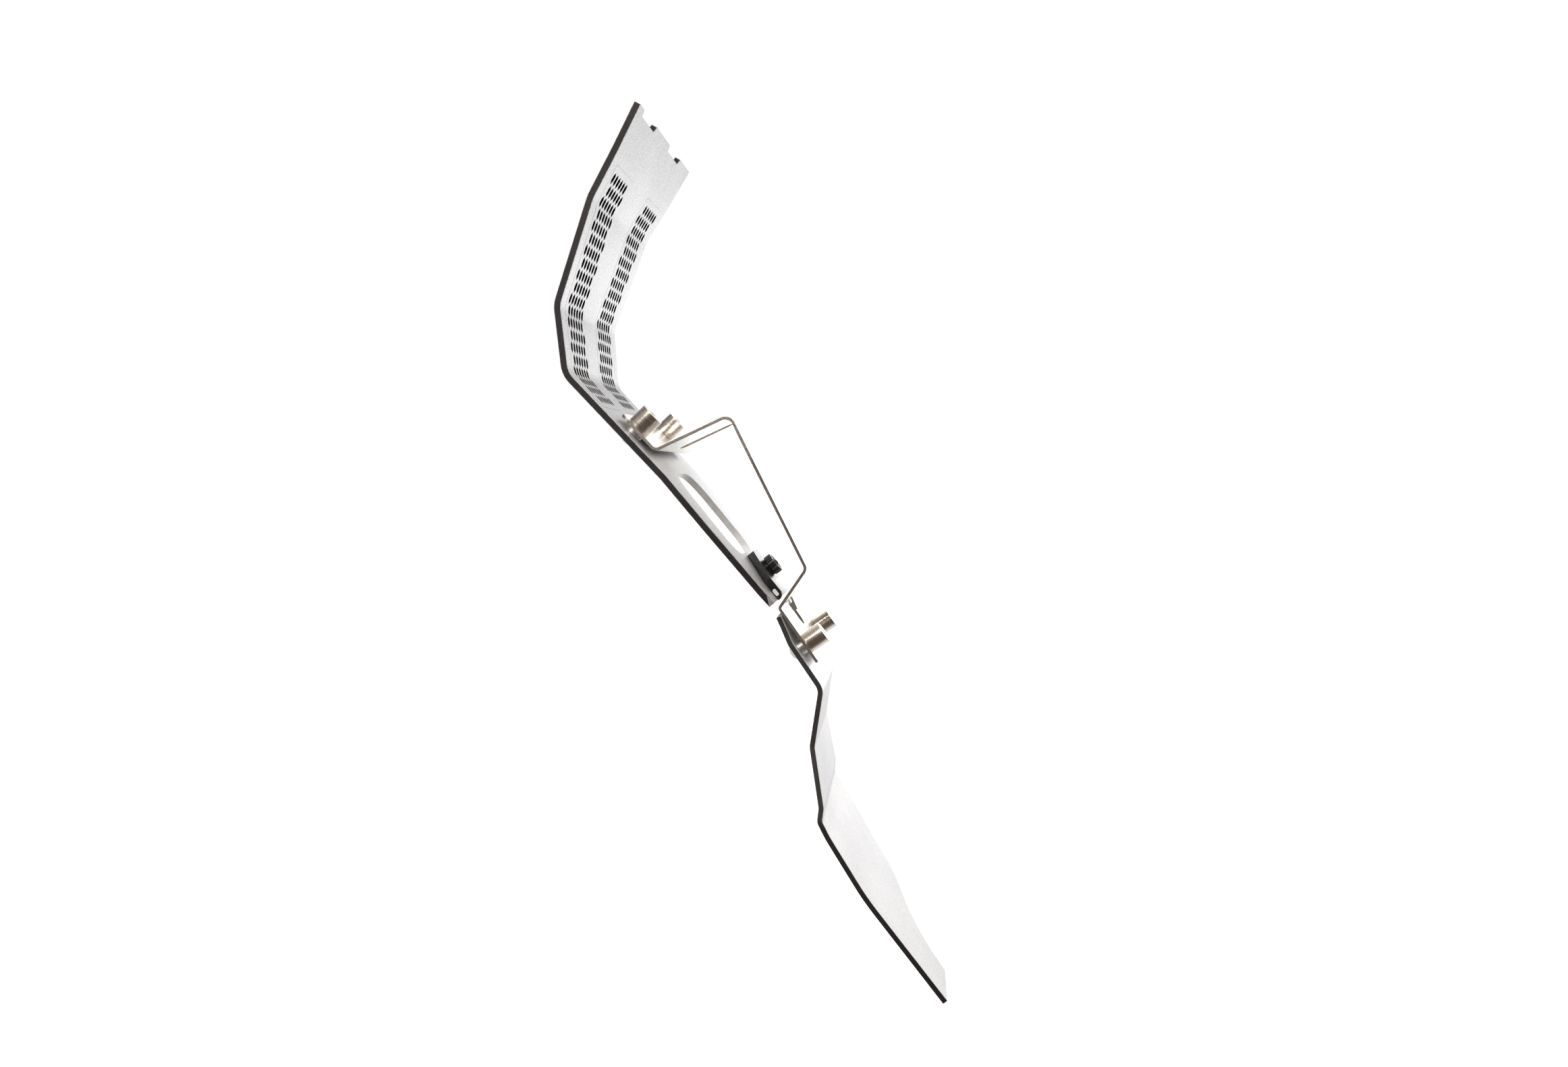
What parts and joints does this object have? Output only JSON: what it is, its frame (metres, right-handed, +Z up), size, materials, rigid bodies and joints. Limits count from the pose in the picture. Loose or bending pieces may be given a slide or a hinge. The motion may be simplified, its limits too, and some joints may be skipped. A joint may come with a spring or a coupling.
{
  "type": "prosthetic leg",
  "caption": "Bent-plate lower leg: a vented calf shell over a springy foot blade, joined at the ankle by one folded leaf spring with barrel nuts and a sliding stop.",
  "frame": {"origin": "middle of the cuff face, on the inner side of the calf shell's top facet", "axes": "+Z up the leg, +X from the calf shell towards the spring and the toe, +Y across the width"},
  "size_m": [0.2124, 0.1522, 0.4832],
  "materials": {
    "shell_metal": "bead-blasted",
    "foot_metal": "bead-blasted",
    "spring_steel": "brushed",
    "nut_nickel": "turned satin",
    "screw_steel": "satin",
    "stop_black": "black oxide",
    "mesh_black": "woven mesh",
    "lug_steel": "satin"
  },
  "bodies": {
    "shell": {"calf_shell": "shell_metal", "vent_panel_near": "shell_metal", "vent_panel_far": "shell_metal", "vent_mesh_near": "mesh_black", "vent_mesh_far": "mesh_black", "leaf_spring": "spring_steel", "upper_spacer_near": "screw_steel", "upper_spacer_far": "screw_steel", "upper_nut_near": "nut_nickel", "upper_nut_far": "nut_nickel", "upper_screw_near": "screw_steel", "upper_screw_far": "screw_steel"},
    "stop": {"stop_bar": "stop_black", "stop_screw": "stop_black", "stop_washer": "stop_black"},
    "stop_knob": {"stop_nut": "stop_black"},
    "foot": {"foot_plate": "foot_metal", "tether_lug": "lug_steel", "lower_spacer_near": "screw_steel", "lower_spacer_far": "screw_steel", "lower_nut_near": "nut_nickel", "lower_nut_far": "nut_nickel", "lower_screw_near": "screw_steel", "lower_screw_far": "screw_steel"}
  },
  "joints": [
    {"name": "ankle_flex", "type": "hinge", "parent": "shell", "child": "foot", "pos_m": [0.07574, 0, -0.25746], "axis": [0, 1, 0], "range_deg": [-14, 6], "stiffness_Nm_per_rad": 90, "deforming": ["leaf_spring"]},
    {"name": "stop_slide", "type": "slide", "parent": "shell", "child": "stop", "axis": [-0.6334, 0, 0.7738], "range_m": [0, 0.004]},
    {"name": "knob_turn", "type": "hinge", "parent": "stop", "child": "stop_knob", "pos_m": [0.05998, 0, -0.24188], "axis": [0.7738, 0, 0.6334], "continuous": true}
  ]
}
